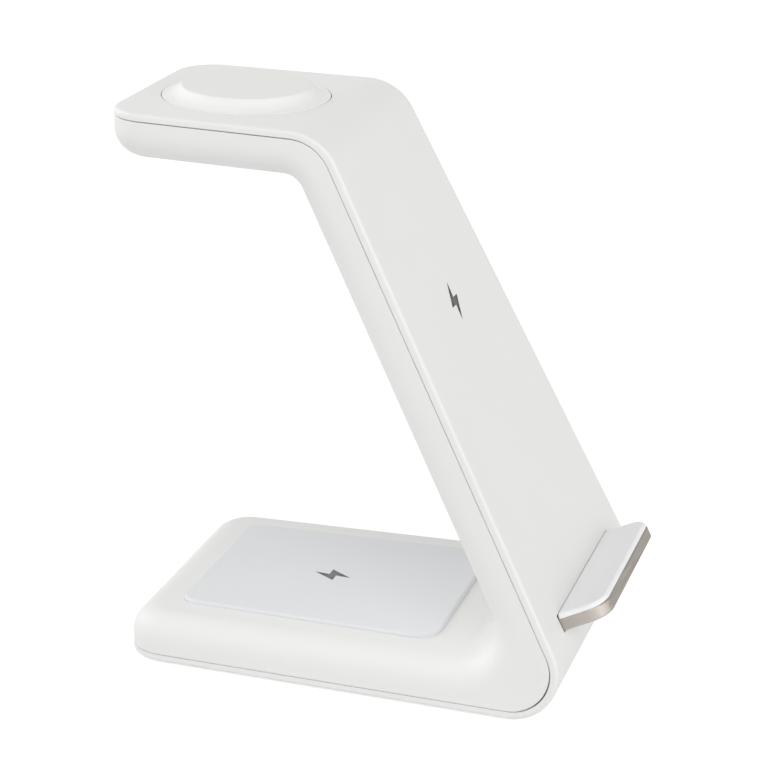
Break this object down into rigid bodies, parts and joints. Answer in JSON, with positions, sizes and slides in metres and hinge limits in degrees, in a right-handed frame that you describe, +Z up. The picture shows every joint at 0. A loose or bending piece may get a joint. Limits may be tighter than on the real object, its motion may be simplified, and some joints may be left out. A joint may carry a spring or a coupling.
{
  "type": "three in one wireless charger",
  "caption": "Z shaped wireless charging stand with a round watch head on a raised platform, a leaning phone panel with a metal ledge, and an earbud pad on the base.",
  "frame": {"origin": "centre of the box on the floor, under the feet", "axes": "+Z up; the phone panel and ledge face -Y; X runs across the width"},
  "size_m": [0.0754, 0.119, 0.1337],
  "materials": {
    "white_plastic": "fine satin white",
    "pale_silicone": "smooth pale grey silicone",
    "satin_metal": "satin nickel on cast metal",
    "nickel_plate": "bright nickel",
    "zinc_steel": "zinc plated",
    "copper_wire": "enamelled copper winding",
    "ferrite": "dull dark grey",
    "circuit_board": "green solder mask",
    "black_plastic": "moulded black",
    "tan_ceramic": "fired tan ceramic",
    "grey_rubber": "matt pale grey",
    "white_jacket": "soft white insulation"
  },
  "bodies": {
    "root": {"outer_shell": "white_plastic", "inner_shell": "white_plastic", "watch_puck": "white_plastic", "watch_coil": "copper_wire", "phone_coil": "copper_wire", "earbud_coil": "copper_wire", "watch_ferrite": "ferrite", "phone_ferrite": "ferrite", "earbud_ferrite": "ferrite", "power_inductors": "ferrite", "watch_magnet": "nickel_plate", "watch_board": "circuit_board", "main_board": "circuit_board", "watch_chips": "black_plastic", "control_chips": "black_plastic", "board_capacitors": "tan_ceramic", "phone_ledge": "satin_metal", "ledge_pad": "pale_silicone", "earbud_pad": "pale_silicone", "usb_c_socket": "nickel_plate", "usb_c_tongue": "black_plastic", "rubber_feet": "grey_rubber", "shell_screws": "zinc_steel", "board_screws": "zinc_steel", "ledge_screws": "zinc_steel", "watch_lead": "white_jacket", "phone_lead": "white_jacket", "earbud_lead": "white_jacket"}
  },
  "joints": []
}
